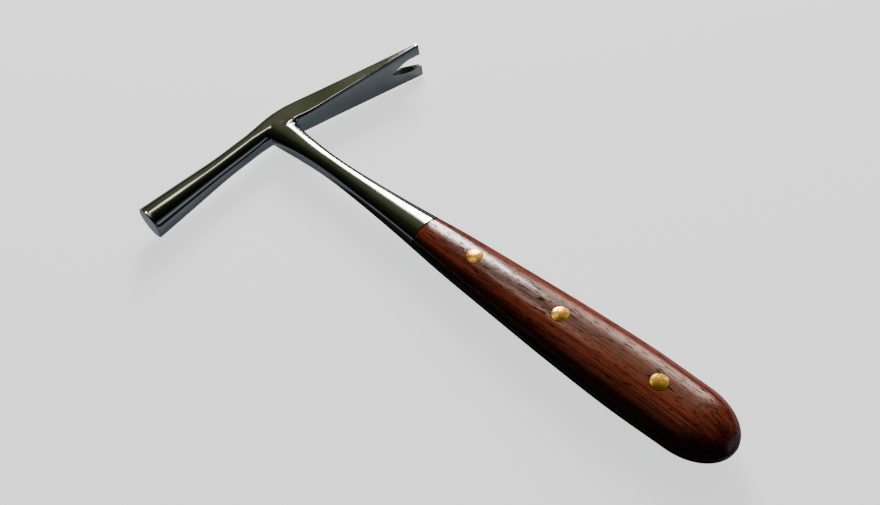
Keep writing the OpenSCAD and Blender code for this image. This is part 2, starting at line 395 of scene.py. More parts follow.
for r in range(len(ring_places) - 1):
    in_rows = OPEN_FIRST <= r < OPEN_LAST
    for k in range(COLUMNS):
        if in_rows and (k < OPEN_ROWS or k >= COLUMNS - OPEN_ROWS):
            continue
        upper = k < half
        faces.append([
            column_ids(r, k, upper),
            column_ids(r, k + 1, upper),
            column_ids(r + 1, k + 1, upper),
            column_ids(r + 1, k, upper),
        ])
for j in range(len(wall_plus) - 1):
    for i in range(WALL):
        faces.append([wall_plus[j][i], wall_plus[j + 1][i], wall_plus[j + 1][i + 1], wall_plus[j][i + 1]])
        faces.append([wall_minus[j][i], wall_minus[j][i + 1], wall_minus[j + 1][i + 1], wall_minus[j + 1][i]])
    for walls in (wall_plus, wall_minus):
        sharp.add((walls[j][0], walls[j + 1][0]))
        sharp.add((walls[j][WALL], walls[j + 1][WALL]))
last_ring = len(ring_places) - 1
for upper, wall in ((True, wall_plus[-1]), (False, wall_minus[-1])):
    order = np.arange(0, half + 1) if upper else np.arange(COLUMNS, half - 1, -1)
    row = [column_ids(last_ring, k, upper) for k in order]
    caps = [[row[0], row[1], row[-2], row[-1]] + list(wall[WALL - 1:0:-1])]
    caps += [[row[i], row[i + 1], row[-2 - i], row[-1 - i]] for i in range(1, QUARTER - 1)]
    caps.append([row[QUARTER - 1], row[QUARTER], row[QUARTER + 1]])
    faces += caps if upper else [c[::-1] for c in caps]
    sharp.update((row[i], row[i + 1]) for i in range(half))
    sharp.update((wall[i], wall[i + 1]) for i in range(WALL))
print("faces so far:", len(faces))

# %% [markdown]
# The striking face is ground flat with a very slight crown and a narrow
# bevel round its rim. The rings carry on round the bevel and shrink to the
# middle. The bevel's two edges get a close extra ring each, which gives
# them a tiny radius that catches the light. A bevel modifier could do the
# same, but rings keep the rim's sizes in the list.

# %% Striking face
RIM = [(0.30, 7.595), (0.42, 7.56), (0.52, 7.50), (0.90, 7.18), (0.96, 7.10), (1.0, 6.98)]
CROWN = [6.2, 5.0, 3.8, 2.6, 1.4]
CROWN_DROP = 0.14
face_angle = ring_angles(7.6, 7.6, 2)
previous = plus_ids[0]
face_rings = [(-FACE_ARM + 0.5 * (1 - t) / 0.7, r) for t, r in RIM]
face_rings += [(-FACE_ARM, r) for r in CROWN]
for s, radius in face_rings:
    u, z = on_ring(radius, radius, 2, face_angle)
    ring = head_point(np.full(COLUMNS, s), u, z)
    ring[:, 1] += CROWN_DROP * (radius / 7.1) ** 4 if s <= -FACE_ARM else CROWN_DROP
    current = add(ring)
    for k in range(COLUMNS):
        n = (k + 1) % COLUMNS
        faces.append([current[k], current[n], previous[n], previous[k]])
    previous = current
centre = add(head_point(np.array([-FACE_ARM]), np.array([0.0]), np.array([0.0])))[0]
for k in range(COLUMNS):
    faces.append([centre, previous[(k + 1) % COLUMNS], previous[k]])
print("rim bevel and crown rings:", len(face_rings))

# %% [markdown]
# The shank is a second row of rings. It starts at an opening left in the
# side of the bar: twelve rows long and a third of the way round, which
# makes exactly the 72 points of one shank ring. A few rows bridge the two,
# and the next step rounds them. A boolean union would join the two bars as
# well, but it leaves long thin faces just where the light shows them.

# %% Opening and handle rings
SCALE_START = 103.5
TANG_START_T = 1.6
TANG_END_T = 0.6
EDGE_COLUMNS = 3


def opening_id(q):
    """The point of the opening's edge that shank column q grows from."""
    q = q % COLUMNS
    if q <= 12:
        return plus_ids[OPEN_LAST][q]
    if q <= 24:
        return plus_ids[OPEN_LAST - (q - 12)][12]
    if q <= 36:
        return plus_ids[OPEN_FIRST][36 - q]
    if q <= 48:
        return plus_ids[OPEN_FIRST][(36 - q) % COLUMNS]
    if q <= 60:
        return plus_ids[OPEN_FIRST + (q - 48)][COLUMNS - 12]
    return plus_ids[OPEN_LAST][q]


def tang_half(x):
    """Half the tang's thickness, which tapers evenly to the butt."""
    return TANG_START_T + (TANG_END_T - TANG_START_T) * (x - 98.5) / (HANDLE_END - 98.5)


def side_angle(thickness, z):
    """The ring angle at which the handle's outline is z high."""
    return math.asin((z / thickness) ** (HANDLE_POWER / 2))


def handle_angles(x, edge_share):
    """Ring angles; near the bolster three columns a side gather on the tang's edge."""
    width, thickness = (float(v) for v in handle_section(x))
    free = ring_angles(width, thickness, HANDLE_POWER)[:QUARTER + 1]
    edge = [side_angle(thickness, tang_half(x) * i / EDGE_COLUMNS) for i in range(EDGE_COLUMNS + 1)]
    rest = np.linspace(edge[-1], math.pi / 2, QUARTER + 1 - EDGE_COLUMNS)[1:]
    quarter = free + (np.concatenate([edge, rest]) - free) * edge_share
    mirrored = np.concatenate([quarter, math.pi - quarter[-2::-1]])
    return np.concatenate([mirrored, mirrored[1:-1] + math.pi])


def handle_ring(x, angles):
    """One ring of the handle's outline."""
    y, z = on_ring(*handle_section(x), HANDLE_POWER, angles)
    return np.stack([np.full(len(y), float(x)), y, z], -1)


print("tang thickness at the bolster, mm:", round(2 * tang_half(SCALE_START), 2))

# %% Shank from the opening to the bolster
SHANK_START = 13.0
BRIDGE_ROWS = 7
opening = np.array([opening_id(q) for q in range(COLUMNS)])
start_ring = handle_ring(SHANK_START, handle_angles(SHANK_START, 0))
opening_points = np.concatenate(points)[opening]
previous = opening
bridge = []
for i in range(1, BRIDGE_ROWS + 1):
    blend = i / (BRIDGE_ROWS + 1)
    bridge.append(add(opening_points * (1 - blend) + start_ring * blend))
shank_places = np.concatenate([np.linspace(SHANK_START, SCALE_START - 0.4, 66), [SCALE_START]])
shank = [
    add(handle_ring(x, handle_angles(x, float(smooth_step((x - 80) / 20)))))
    for x in shank_places
]
for ring in bridge + shank:
    for q in range(COLUMNS):
        n = (q + 1) % COLUMNS
        faces.append([previous[q], ring[q], ring[n], previous[n]])
    previous = ring
print("opening", len(opening), "points; shank rings", len(shank))

# %% [markdown]
# A forging has no hard inside corners: the metal flows from the shank into
# both arms, with a radius of about three millimetres towards the claw and
# a tighter one towards the face. Here that flow is a
# smooth meeting of two solids, the bar and the shank. Each is a function
# that is zero on its own skin, and the two are blended only where they meet
# at an angle, so the cheek stays flat where both run level. The points
# near the neck are relaxed and pulled onto that skin by turns.

# %% The bar and the shank as functions


def bar_gap(p):
    """How far each point is from the head bar's skin; the loop finds its place along the bar."""
    s = p[:, 1] / math.cos(CLAW_DROOP * 0.5)
    for _ in range(8):
        tilt = np.interp(s, line_s, line_tilt)
        off = (p[:, 0] - np.interp(s, line_s, line_x)) * np.sin(tilt)
        off += (p[:, 1] - np.interp(s, line_s, line_y)) * np.cos(tilt)
        s = s + off
    tilt = np.interp(s, line_s, line_tilt)
    u = (p[:, 0] - np.interp(s, line_s, line_x)) * np.cos(tilt)
    u -= (p[:, 1] - np.interp(s, line_s, line_y)) * np.sin(tilt)
    depth, thickness, power = along(HEAD_STATIONS, s)
    scale = (np.abs(u / depth) ** power + np.abs(p[:, 2] / thickness) ** power) ** (1 / power)
    return np.hypot(u, p[:, 2]) * (1 - 1 / np.maximum(scale, 1e-6))


def shank_gap(p):
    """How far each point is from the shank's skin; the shank ends in a round nose at the head's back."""
    x = np.maximum(p[:, 0], 0)
    width, thickness = along(HANDLE_STATIONS, x)
    end = (1 - np.clip(-p[:, 0] / HEAD_BACK, 0, 0.98) ** 3) ** (1 / 3)
    width, thickness = width * end, thickness * end
    scale = (np.abs(p[:, 1] / width) ** HANDLE_POWER + np.abs(p[:, 2] / thickness) ** HANDLE_POWER)
    scale = scale ** (1 / HANDLE_POWER)
    return np.hypot(p[:, 1], p[:, 2]) * (1 - 1 / np.maximum(scale, 1e-6))


spots = np.array([[9.0, 9.0, 0.0], [9.0, -9.0, 0.0]])
print("two spots beside the neck are outside the bar by, mm:", bar_gap(spots).round(2))
print("and outside the shank by, mm:", shank_gap(spots).round(2))

# %% The blended skin
FILLET_CLAW = 3.6
FILLET_FACE = 1.5
FILLET_CHANGE = 6


def slope(function, p):
    """How the function grows along x, y and z, from two close values each."""
    h = 0.01
    return np.stack([(function(p + h * e) - function(p - h * e)) / (2 * h) for e in np.eye(3)], -1)


def skin(p):
    """How far each point is outside the blended skin, and the skin's normal there."""
    a, b = bar_gap(p), shank_gap(p)
    ga, gb = slope(bar_gap, p), slope(shank_gap, p)
    la, lb = np.linalg.norm(ga, axis=1), np.linalg.norm(gb, axis=1)
    facing = (ga * gb).sum(1) / (la * lb)
    a, b = a / la, b / lb
    fillet = FILLET_FACE + (FILLET_CLAW - FILLET_FACE) * smooth_step(p[:, 1] / FILLET_CHANGE + 0.5)
    # The fillet is full where the two skins meet squarely and none where they run level.
    reach = np.maximum(fillet * smooth_step(1.5 * (1 - facing)), 1e-3)
    h = np.maximum(reach - np.abs(a - b), 0) / reach
    value = np.minimum(a, b) - h * h * reach / 4
    share = np.where(a < b, 1 - h / 2, h / 2)[:, None]
    normal = share * ga / la[:, None] + (1 - share) * gb / lb[:, None]
    return value, normal / np.linalg.norm(normal, axis=1)[:, None]


def pull_to_skin(p):
    """Moves points onto the blended skin."""
    for _ in range(3):
        value, normal = skin(p)
        p = p - normal * value[:, None]
    return p


print("the same spots are outside the blended skin by, mm:", skin(spots)[0].round(2))

# %% Relax the neck
RELAX_TURNS = 90
body = np.concatenate(points)
# Free to move are the bar round the opening, the bridge and the shank's first rings.
free = set()
for r in range(OPEN_FIRST - 4, OPEN_LAST + 5):
    for k in list(range(0, 16)) + list(range(COLUMNS - 15, COLUMNS)):
        free.add(int(plus_ids[r][k]))
for ring in bridge + shank[:4]:
    free.update(int(i) for i in ring)
used = sorted({int(i) for f in faces for i in f})
free = np.array(sorted(free & set(used)))
edges = {tuple(sorted((int(f[i]), int(f[(i + 1) % len(f)])))) for f in faces for i in range(len(f))}
edges = np.array(sorted(edges))
for turn in range(RELAX_TURNS):
    total = np.zeros_like(body)
    count = np.zeros(len(body))
    np.add.at(total, edges[:, 0], body[edges[:, 1]])
    np.add.at(total, edges[:, 1], body[edges[:, 0]])
    np.add.at(count, edges[:, 0], 1)
    np.add.at(count, edges[:, 1], 1)
    relaxed = 0.5 * body[free] + 0.5 * total[free] / count[free][:, None]
    body[free] = pull_to_skin(relaxed)
print("points relaxed at the neck:", len(free))

# %% [markdown]
# The neck is small, curved both ways and polished, so its highlight shows
# every face. Each face there is cut in four, and the new points are pulled
# onto the same skin. A subdivision modifier would round the claw's crisp
# edges too, so only the chosen faces are cut.

# %% Finer faces at the neck


def split_faces(all_points, all_faces, near):
    """Cuts each face whose points are all chosen into four; faces beside them take the new edge points."""
    middles, extra = {}, []
    chosen = [len(f) == 4 and all(int(v) in near for v in f) for f in all_faces]
    result = []
    for f, cut in zip(all_faces, chosen):
        if not cut:
            continue
        ids = []
        for i in range(4):
            key = tuple(sorted((int(f[i]), int(f[(i + 1) % 4]))))
            if key not in middles:
                middles[key] = len(all_points) + len(extra)
                extra.append((all_points[key[0]] + all_points[key[1]]) / 2)
            ids.append(middles[key])
        hub = len(all_points) + len(extra)
        extra.append(sum(all_points[int(v)] for v in f) / 4)
        result += [[int(f[i]), ids[i], hub, ids[i - 1]] for i in range(4)]
    for f, cut in zip(all_faces, chosen):
        if not cut:
            loop = []
            for i in range(len(f)):
                key = tuple(sorted((int(f[i]), int(f[(i + 1) % len(f)]))))
                loop += [int(f[i])] + ([middles[key]] if key in middles else [])
            result.append(loop)
    return np.concatenate([all_points, pull_to_skin(np.array(extra))]), result


body, faces = split_faces(body, faces, set(free.tolist()))
print("faces after splitting at the neck:", len(faces))

# %% [markdown]
# The tang carries on from the bolster as a wedge, three millimetres thick
# at the front and one at the butt. Its edge shows all round the handle
# between the scales, a hair below the wood. Its rings keep the same columns
# as the shank, pressed flat between two planes, so the shoulder closes
# without a seam and the forging stays one skin from face to butt.

# %% Tang
TANG_SINK = 0.12
points = [body]
butt_run = np.array([0, 12, 24, 36, 47, 57, 66, 74, 80, 84, 86.5])
tang_places = np.concatenate([
    [SCALE_START + 0.05, SCALE_START + 0.3],
    np.linspace(SCALE_START + 2, BUTT_START - 2, 60),
    BUTT_START + (HANDLE_END - 0.1 - BUTT_START) * np.sin(np.radians(butt_run)),
])


def tang_ring(x, sink):
    """72 points of the tang: its two edges and its two flats."""
    width, thickness = (float(v) - sink for v in handle_section(x))
    half_t = min(tang_half(x), thickness * 0.9)
    z = half_t * np.arange(-EDGE_COLUMNS, EDGE_COLUMNS + 1) / EDGE_COLUMNS
    y = width * (1 - np.abs(z / thickness) ** HANDLE_POWER) ** (1 / HANDLE_POWER)
    flat = np.cos(np.linspace(0, math.pi, half - 2 * EDGE_COLUMNS + 1))[1:-1] * y[0]
    ring_y = np.concatenate([y[EDGE_COLUMNS:], flat, -y[::-1], -flat, y[:EDGE_COLUMNS]])
    level = 0 * flat + half_t
    ring_z = np.concatenate([z[EDGE_COLUMNS:], level, z[::-1], -level, z[:EDGE_COLUMNS]])
    return np.stack([np.full(COLUMNS, float(x)), ring_y, ring_z], -1)


shoulder = add(tang_ring(SCALE_START, 0.0))
on_edge = fold <= EDGE_COLUMNS
on_edge |= np.abs(np.arange(COLUMNS) - half) <= EDGE_COLUMNS
shoulder[on_edge] = shank[-1][on_edge]
for q in range(COLUMNS):
    n = (q + 1) % COLUMNS
    loop = [shank[-1][q], shoulder[q], shoulder[n], shank[-1][n]]
    if not (on_edge[q] and on_edge[n]):
        faces.append([v for i, v in enumerate(loop) if v != loop[i - 1]])
        sharp.add((shank[-1][q], shank[-1][n]))
    sharp.add((shoulder[q], shoulder[n]))
previous = shoulder
corner_columns = [EDGE_COLUMNS, half - EDGE_COLUMNS, half + EDGE_COLUMNS, COLUMNS - EDGE_COLUMNS]
for x in tang_places:
    ring = add(tang_ring(x, TANG_SINK))
    for q in range(COLUMNS):
        n = (q + 1) % COLUMNS
        faces.append([previous[q], ring[q], ring[n], previous[n]])
    sharp.update((previous[q], ring[q]) for q in corner_columns)
    previous = ring
faces.append([int(i) for i in previous])
print("tang rings:", len(tang_places))

# %% [markdown]
# A mesh is a list of points and a list of faces that name their points. All
# faces are shaded smooth, and only the marked edges stay sharp. A closed
# piece of metal or wood has two faces at every edge, so counting the faces
# at each edge finds any hole.

# %% Mesh helper


def make_mesh(name, all_points, all_faces, sharp_edges=()):
    """A smooth-shaded piece from points in millimetres; unused points are dropped."""
    all_faces = [[int(i) for i in f] for f in all_faces]
    keep = sorted({i for f in all_faces for i in f})
    new_id = {old: new for new, old in enumerate(keep)}
    mesh = bpy.data.meshes.new(name)
    mesh.from_pydata(
        to_metres(np.asarray(all_points)[keep]).tolist(),
        [],
        [[new_id[i] for i in f] for f in all_faces],
    )
    mesh.polygons.foreach_set("use_smooth", [True] * len(mesh.polygons))
    wanted = {tuple(sorted((new_id[int(a)], new_id[int(b)]))) for a, b in sharp_edges}
    for edge in mesh.edges:
        if tuple(sorted(edge.vertices)) in wanted:
            edge.use_edge_sharp = True
    mesh.validate()
    mesh.update()
    piece = bpy.data.objects.new(name, mesh)
    bpy.context.scene.collection.objects.link(piece)
    return piece


def edge_report(piece):
    """Counts the open and crowded edges of a mesh; both are zero on a closed skin."""
    tally = {}
    for polygon in piece.data.polygons:
        for key in polygon.edge_keys:
            tally[key] = tally.get(key, 0) + 1
    open_edges = sum(1 for v in tally.values() if v == 1)
    crowded = sum(1 for v in tally.values() if v > 2)
    return len(piece.data.polygons), open_edges, crowded


print("points of the forging, with the unused ones:", sum(len(p) for p in points))

# %% Forging
# The rows were laid so that each face looks inwards, so every loop is turned round.
forging = make_mesh("forged_hammer_body", np.concatenate(points), [f[::-1] for f in faces], sharp)
print("forging: faces, open edges, crowded edges:", edge_report(forging))
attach(forging, "root")
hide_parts("hammer_forging")

# %% [markdown]
# The scales are the two halves of the grip, shaped as one with the tang
# between them. Each is a dense row of D-shaped rings: an arch of wood and a
# flat that beds on the tang. A box with a subdivision modifier could give
# the arch, but not the crisp edge along the tang. The front end has a tiny
# round and stands just off the bolster, so that a dark line shows there.

# %% Scales
ARCH = 48
BED = 8
BED_GAP = 0.04
FRONT_GAP = 0.45
scale_places = np.concatenate([
    SCALE_START + FRONT_GAP + np.array([0, 0.05, 0.14, 0.26]),
    np.linspace(SCALE_START + 1.6, BUTT_START - 1.5, 96),
    BUTT_START + (HANDLE_END - 0.05 - BUTT_START) * np.sin(np.radians(np.linspace(0, 87, 20))),
])
FRONT_INSET = [0.3, 0.13, 0.04, 0]


def make_scale(name, side):
    """One scale; side is +1 for the one that faces up and -1 for its partner."""
    scale_points, scale_faces, scale_sharp = [], [], []
    for i, x in enumerate(scale_places):
        inset = FRONT_INSET[i] if i < len(FRONT_INSET) else 0
        width, thickness = (float(v) - inset for v in handle_section(x))
        bed = min(tang_half(x) + BED_GAP, thickness * 0.95)
        start = side_angle(thickness, bed)
        y, z = on_ring(width, thickness, HANDLE_POWER, np.linspace(start, math.pi - start, ARCH + 1))
        bed_y = np.linspace(y[-1], y[0], BED + 1)[1:-1]
        y, z = np.concatenate([y, bed_y]), np.concatenate([z, 0 * bed_y + bed])
        scale_points += [(x, b, side * c) for b, c in zip(y, z)]
    n = ARCH + BED
    for r in range(len(scale_places) - 1):
        for q in range(n):
            a, b = r * n + q, r * n + (q + 1) % n
            scale_faces.append([a, a + n, b + n, b])
        scale_sharp += [(r * n, r * n + n), (r * n + ARCH, r * n + n + ARCH)]
    scale_faces += [list(range(n)), [(len(scale_places) - 1) * n + q for q in range(n)][::-1]]
    scale_sharp += [(q, (q + 1) % n) for q in range(n)]
    if side < 0:
        scale_faces = [f[::-1] for f in scale_faces]
    return make_mesh(name, scale_points, scale_faces, scale_sharp)


upper = make_scale("upper_rosewood_scale", 1)
lower = make_scale("lower_rosewood_scale", -1)
for piece in (upper, lower):
    print(piece.name, "faces, open edges, crowded edges:", edge_report(piece))

# %% [markdown]
# Each rivet sits in a counterbore, a flat-bottomed hole a little wider than
# its head. A boolean cut is right here: the holes are round, few and sharp,
# and the wood around them keeps its dense mesh.

# %% Places and sizes of the counterbores
RIVET_PLACES = [131.5, 175.2, 218.9]
HEAD_R = 3.4
DOME = 0.35
RIM_H = 1.1
SINK = 0.15
HOLE_R = 3.56
THROUGH_R = 2.45
HOLE_SIDES = 64
ABOVE_WOOD = 14.0
BELOW_BED = -2.0


def head_seat(x):
    """The height of the counterbore's floor at a place along the handle."""
    return float(handle_section(x)[1]) - SINK - RIM_H


print("counterbore floors, mm above the middle:", [round(head_seat(x), 2) for x in RIVET_PLACES])

# %% Cut the counterbores


def cut_holes(piece, side):
    """Cuts the counterbores with their narrower through holes below."""
    hole_points, hole_faces = [], []
    for x in RIVET_PLACES:
        floor_z = head_seat(x)
        for radius, low, high in ((HOLE_R, floor_z, ABOVE_WOOD), (THROUGH_R, BELOW_BED, floor_z + 0.5)):
            first = len(hole_points)
            turn = np.linspace(0, 2 * math.pi, HOLE_SIDES, endpoint=False)
            for z in (low, high):
                hole_points += [(x + radius * math.cos(t), radius * math.sin(t), side * z) for t in turn]
            ends = [list(range(first, first + HOLE_SIDES))[::-1]]
            ends.append(list(range(first + HOLE_SIDES, first + 2 * HOLE_SIDES)))
            walls = [
                [first + k, first + (k + 1) % HOLE_SIDES,
                 first + HOLE_SIDES + (k + 1) % HOLE_SIDES, first + HOLE_SIDES + k]
                for k in range(HOLE_SIDES)
            ]
            new = ends + walls
            hole_faces += new if side > 0 else [f[::-1] for f in new]
    cutter = make_mesh("counterbore_cutter", hole_points, hole_faces)
    modifier = piece.modifiers.new("counterbores", "BOOLEAN")
    modifier.operation = "DIFFERENCE"
    modifier.solver = "EXACT"
    modifier.use_self = True
    modifier.object = cutter
    cut = bpy.data.meshes.new_from_object(piece.evaluated_get(bpy.context.evaluated_depsgraph_get()))
    piece.modifiers.clear()
    piece.data = cut
    bpy.data.objects.remove(cutter)
    # The walls and floors of the holes keep a hard edge against the skin.
    for edge in cut.edges:
        a, b = (cut.vertices[i].co for i in edge.vertices)
        for x in RIVET_PLACES:
            hub = to_metres([x, 0, 0])
            if all(abs(math.hypot(v.x - hub[0], v.y - hub[1]) - HOLE_R / 1000) < 2e-5 for v in (a, b)):
                edge.use_edge_sharp = True


for piece, side, cad_name in ((upper, 1, "upper_scale"), (lower, -1, "lower_scale")):
    cut_holes(piece, side)
    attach(piece, "root")
    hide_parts(cad_name)
    print(cad_name, "after the holes:", edge_report(piece))

# %% [markdown]
# A cutler's rivet comes in two halves: a headed post is driven into a
# headed tube. Both are turned on a lathe, so each is a profile spun round
# its axis. The heads were set with light hammer blows, and a few soft flats
# are left on the domes.

# %% Spun profiles
SPIN = 72
FLATS_PER_MM = 0.9
FLAT_DEPTH = 0.035


def spin(name, x, profile, side, seed):
    """Spins a list of radius and height round the rivet's axis."""
    spun, spun_faces, rings = [], [], []
    for radius, height in profile:
        if radius == 0:
            rings.append([len(spun)] * SPIN)
            spun.append((x, 0, side * height))
            continue
        rings.append(list(range(len(spun), len(spun) + SPIN)))
        for t in np.linspace(0, 2 * math.pi, SPIN, endpoint=False):
            px, py = radius * math.cos(t), radius * math.sin(t)
            on_dome = smooth_step((height - (head_seat(x) + RIM_H)) / 0.12)
            blow = noise.noise(Vector((px * FLATS_PER_MM, py * FLATS_PER_MM, seed)))
            bump = blow * FLAT_DEPTH * float(on_dome)
            spun.append((x + px, py, side * (height - abs(bump))))
    for low, high in zip(rings, rings[1:]):
        for k in range(SPIN):
            n = (k + 1) % SPIN
            loop = [low[k], low[n], high[n], high[k]]
            loop = [v for i, v in enumerate(loop) if v != loop[i - 1]]
            if len(loop) > 2:
                spun_faces.append(loop if side > 0 else loop[::-1])
    return make_mesh(name, spun, spun_faces)


def head_profile(x, hole_r):
    """Under the head, round its rim and over the dome to the middle."""
    seat = head_seat(x)
    ball = (HEAD_R**2 + DOME**2) / (2 * DOME)
    top = seat + RIM_H + DOME
    rim = [(hole_r, seat), (HEAD_R - 0.03, seat), (HEAD_R, seat + 0.03), (HEAD_R, seat + RIM_H - 0.10)]
    rim += [(HEAD_R - 0.02, seat + RIM_H - 0.03), (HEAD_R - 0.07, seat + RIM_H + 0.03)]
    dome = [(q, top - ball + math.sqrt(ball**2 - q * q)) for q in np.linspace(3.2, 0, 15)[:-1]]
    return rim + dome + [(0, top)]


print("head profile, radius and height of its middle:", head_profile(RIVET_PLACES[1], 0)[-1])

# %% Rivets
POST_R = 1.6
TUBE_R = 2.4
for name, x in zip(("front", "middle", "rear"), RIVET_PLACES):
    low_end = -head_seat(x) + 1
    post = spin(
        name + "_brass_rivet_post", x,
        [(0, low_end), (POST_R - 0.2, low_end), (POST_R, low_end + 0.2), (POST_R, head_seat(x))]
        + head_profile(x, POST_R)[1:], 1, x)
    tube_top = -(head_seat(x) - 0.3)
    socket = spin(
        name + "_brass_rivet_socket", x,
        [(0, head_seat(x)), (POST_R, head_seat(x)), (POST_R, tube_top + 0.1), (POST_R + 0.1, tube_top),
         (TUBE_R - 0.1, tube_top), (TUBE_R, tube_top + 0.1), (TUBE_R, head_seat(x))]
        + head_profile(x, TUBE_R)[1:], -1, x + 50)
    for piece, part in ((post, "post"), (socket, "socket")):
        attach(piece, "root")
        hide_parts(name + "_rivet_" + part)
        print(piece.name, "faces, open edges, crowded edges:", edge_report(piece))

# %% [markdown]
# Materials are node trees. They could be clicked together by hand, but a
# script is easier to read and to repeat. One function adds a node with its
# settings, links and colour stops. One turns a written hex colour into the
# linear colour that the shader wants. Patterns read object coordinates,
# which are metres here, so one more turns the size of a pattern's cell in
# millimetres into its scale.

# %% Node helper


def colour(hex_code):
    """sRGB hex to linear RGBA."""
    values = [int(hex_code[i:i + 2], 16) / 255 for i in (1, 3, 5)]
    return tuple(v / 12.92 if v <= 0.04045 else ((v + 0.055) / 1.055) ** 2.4 for v in values) + (1,)


def per_cell(*sizes):
    """Pattern scale from the size of a cell in millimetres: one size, or one each for x, y and z."""
    scales = tuple(1000 / size for size in sizes)
    return scales if len(scales) > 1 else scales[0]


def node(tree, kind, settings=None, inputs=None, stops=()):
    """Adds one node; an input is a plain value or the output socket that feeds it.

    The stops of a colour ramp are pairs of a place and a hex colour.
    """
    made = tree.nodes.new(kind)
    for key, value in (settings or {}).items():
        setattr(made, key, value)
    for key, value in (inputs or {}).items():
        if isinstance(value, bpy.types.NodeSocket):
            tree.links.new(value, made.inputs[key])
        else:
            made.inputs[key].default_value = value
    if stops:
        elements = made.color_ramp.elements
        while len(elements) < len(stops):
            elements.new(0.5)
        for element, (position, code) in zip(elements, stops):
            element.position = position
            element.color = colour(code)
    return made


def new_material(name):
    """An empty material and its node tree."""
    material = bpy.data.materials.new(name)
    material.use_nodes = True
    material.node_tree.nodes.clear()
    return material, material.node_tree


print("white is", colour("#ffffff"), "and a cell of 2 mm has the scale", per_cell(2))

# %% [markdown]
# Polished forged tool steel. The forging was filed, then drawn with fine
# emery in the direction of the handle and buffed, which gives the eye a
# dark mirror with clean-edged lights. A plain metal shader would do for
# new chrome. Here noise drawn out along the handle varies the roughness
# between about 0.06 and 0.1, and faint low waves stay from the hammer.

# %% Steel
# Real emery lines are a few hundredths of a millimetre apart, too fine to
# show, so they are drawn 1.4 mm apart and 8 mm long. The waves are as wide
# as the marks of a planishing hammer.
EMERY_LONG = 8.33
EMERY_APART = 1.43
HAMMER_WAVE = 16.7
steel, tree = new_material("polished forged tool steel")
place = node(tree, "ShaderNodeTexCoord").outputs["Object"]
emery_map = node(tree, "ShaderNodeMapping", inputs={
    "Vector": place, "Scale": per_cell(EMERY_LONG, EMERY_APART, EMERY_APART)})
emery = node(tree, "ShaderNodeTexNoise", inputs={
    "Vector": emery_map.outputs[0], "Scale": 1.0, "Detail": 3.0, "Roughness": 0.6})
cloud = node(tree, "ShaderNodeTexNoise", inputs={
    "Vector": place, "Scale": per_cell(HAMMER_WAVE), "Detail": 1.0})
rough_low = node(tree, "ShaderNodeMapRange", inputs={
    "Value": cloud.outputs[0], "From Min": 0.3, "From Max": 0.7, "To Min": 0.05, "To Max": 0.08})
waves = node(tree, "ShaderNodeBump", inputs={
    "Height": cloud.outputs[0], "Strength": 0.03, "Distance": 0.0003})
rough = node(tree, "ShaderNodeMath", settings={"operation": "MULTIPLY_ADD"}, inputs={
    0: emery.outputs[0], 1: 0.04, 2: rough_low.outputs[0]})
tint = node(tree, "ShaderNodeValToRGB", inputs={0: cloud.outputs[0]}, stops=[
    (0.3, "#a9aaa8"), (0.7, "#bcbcba")])
shader = node(tree, "ShaderNodeBsdfPrincipled", inputs={
    "Base Color": tint.outputs[0], "Metallic": 1.0,
    "Roughness": rough.outputs[0], "Normal": waves.outputs[0]})
node(tree, "ShaderNodeOutputMaterial", inputs={"Surface": shader.outputs[0]})
print(steel.name, len(tree.nodes), "nodes")

# %% [markdown]
# Oiled rosewood. The blanks were sawn with the grain along the handle, then
# scraped, oiled and rubbed to a soft gloss. It gives the eye a deep
# red-brown with darker bands several millimetres apart, thin nearly black
# lines, open pores drawn out along the grain, and a clear highlight from
# the oil. Rings round a heart would suit a wide board. In a narrow scale
# the grain runs nearly straight, so stretched noise draws all three.

# %% Rosewood
# Real pores are 0.1 to 0.3 mm wide. They are drawn from cells of 0.4 mm, a
# little coarser, so that they show. The other sizes are usual ones.
GRAIN_LONG = 250
BAND_WIDE, BAND_DEEP = 4.17, 6.67
LINE_WIDE, LINE_DEEP = 1.61, 2.5
PORE_LONG, PORE_WIDE = 3.85, 0.4
BEND_LONG, BEND_WIDE = 143, 55.6
BEND_SHIFT = 2.2 / 1000
GRAIN_TURN = (0.5, 0.0, 0.0)
rosewood, tree = new_material("oiled rosewood")
place = node(tree, "ShaderNodeTexCoord").outputs["Object"]
bend_map = node(tree, "ShaderNodeMapping", inputs={
    "Vector": place, "Scale": per_cell(BEND_LONG, BEND_WIDE, BEND_WIDE)})
bend = node(tree, "ShaderNodeTexNoise", inputs={
    "Vector": bend_map.outputs[0], "Scale": 1.0, "Detail": 1.0})
shifted = node(tree, "ShaderNodeMixRGB", settings={"blend_type": "ADD"}, inputs={
    0: BEND_SHIFT, 1: place, 2: bend.outputs["Color"]})
band_map = node(tree, "ShaderNodeMapping", inputs={
    "Vector": shifted.outputs[0], "Rotation": GRAIN_TURN,
    "Scale": per_cell(GRAIN_LONG, BAND_WIDE, BAND_DEEP)})
bands = node(tree, "ShaderNodeTexNoise", inputs={
    "Vector": band_map.outputs[0], "Scale": 1.0, "Detail": 2.0, "Roughness": 0.5})
line_map = node(tree, "ShaderNodeMapping", inputs={
    "Vector": shifted.outputs[0], "Rotation": GRAIN_TURN,
    "Scale": per_cell(GRAIN_LONG, LINE_WIDE, LINE_DEEP)})
lines = node(tree, "ShaderNodeTexNoise", inputs={
    "Vector": line_map.outputs[0], "Scale": 1.0, "Detail": 1.5, "Roughness": 0.5})
pore_map = node(tree, "ShaderNodeMapping", inputs={
    "Vector": shifted.outputs[0], "Scale": per_cell(PORE_LONG, PORE_WIDE, PORE_WIDE)})
pores = node(tree, "ShaderNodeTexNoise", inputs={
    "Vector": pore_map.outputs[0], "Scale": 1.0, "Detail": 1.0, "Roughness": 0.5})
